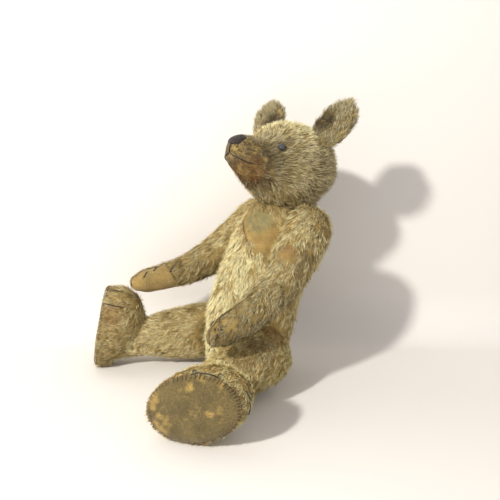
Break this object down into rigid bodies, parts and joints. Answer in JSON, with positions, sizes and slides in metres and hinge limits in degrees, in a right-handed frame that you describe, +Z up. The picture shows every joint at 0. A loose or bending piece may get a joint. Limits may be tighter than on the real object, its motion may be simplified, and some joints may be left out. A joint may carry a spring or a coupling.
{
  "type": "threadbare teddy bear",
  "caption": "Old jointed mohair teddy bear sitting up, with wood wool stuffing, felt paw and foot pads, stitched nose and claws, and bald worn patches.",
  "frame": {"origin": "middle of the flat seat, on the surface the bear sits on", "axes": "+Z up; the bear faces -Y; its left side is +X"},
  "size_m": [0.321, 0.2774, 0.3299],
  "materials": {
    "mohair": "matted worn pile",
    "wood_wool": "shredded and packed",
    "paw_felt": "worn felt",
    "sole_felt": "worn felt",
    "dark_thread": "twisted cotton",
    "eye_glass": "polished boot button",
    "fibreboard": "pressed board",
    "steel": "plain wire and plate"
  },
  "bodies": {
    "torso": {"torso_cover": "mohair", "torso_stuffing": "wood_wool", "neck_inner_disc": "fibreboard", "neck_inner_washer": "steel", "neck_pin": "steel", "left_shoulder_inner_disc": "fibreboard", "left_shoulder_inner_washer": "steel", "left_shoulder_pin": "steel", "right_shoulder_inner_disc": "fibreboard", "right_shoulder_inner_washer": "steel", "right_shoulder_pin": "steel", "left_hip_inner_disc": "fibreboard", "left_hip_inner_washer": "steel", "left_hip_pin": "steel", "right_hip_inner_disc": "fibreboard", "right_hip_inner_washer": "steel", "right_hip_pin": "steel"},
    "head": {"head_cover": "mohair", "head_stuffing": "wood_wool", "left_ear": "mohair", "right_ear": "mohair", "left_eye": "eye_glass", "right_eye": "eye_glass", "nose_stitching": "dark_thread", "mouth_stitching": "dark_thread", "neck_outer_disc": "fibreboard", "neck_outer_washer": "steel"},
    "left_arm": {"left_arm_cover": "mohair", "left_arm_stuffing": "wood_wool", "left_paw_pad": "paw_felt", "left_shoulder_outer_disc": "fibreboard", "left_shoulder_outer_washer": "steel"},
    "right_arm": {"right_arm_cover": "mohair", "right_arm_stuffing": "wood_wool", "right_paw_pad": "paw_felt", "right_shoulder_outer_disc": "fibreboard", "right_shoulder_outer_washer": "steel"},
    "left_leg": {"left_leg_cover": "mohair", "left_leg_stuffing": "wood_wool", "left_foot_pad": "sole_felt", "left_hip_outer_disc": "fibreboard", "left_hip_outer_washer": "steel"},
    "right_leg": {"right_leg_cover": "mohair", "right_leg_stuffing": "wood_wool", "right_foot_pad": "sole_felt", "right_hip_outer_disc": "fibreboard", "right_hip_outer_washer": "steel"}
  },
  "joints": [
    {"name": "neck", "type": "hinge", "parent": "torso", "child": "head", "pos_m": [0, 0.05032, 0.20182], "axis": [0, 0.2419, 0.9703], "continuous": true},
    {"name": "left_shoulder", "type": "hinge", "parent": "torso", "child": "left_arm", "pos_m": [0.039, 0.04597, 0.17611], "axis": [-0.9686, -0.1361, -0.2079], "range_deg": [-2, 82]},
    {"name": "right_shoulder", "type": "hinge", "parent": "torso", "child": "right_arm", "pos_m": [-0.039, 0.04597, 0.17611], "axis": [-0.9686, 0.1361, 0.2079], "range_deg": [0, 82]},
    {"name": "left_hip", "type": "hinge", "parent": "torso", "child": "left_leg", "pos_m": [0.039, -0.0073, 0.04511], "axis": [-0.9897, -0.0346, 0.1392], "range_deg": [-180, 5]},
    {"name": "right_hip", "type": "hinge", "parent": "torso", "child": "right_leg", "pos_m": [-0.039, -0.0073, 0.04511], "axis": [-0.9897, 0.0346, -0.1392], "range_deg": [-180, 0]}
  ]
}
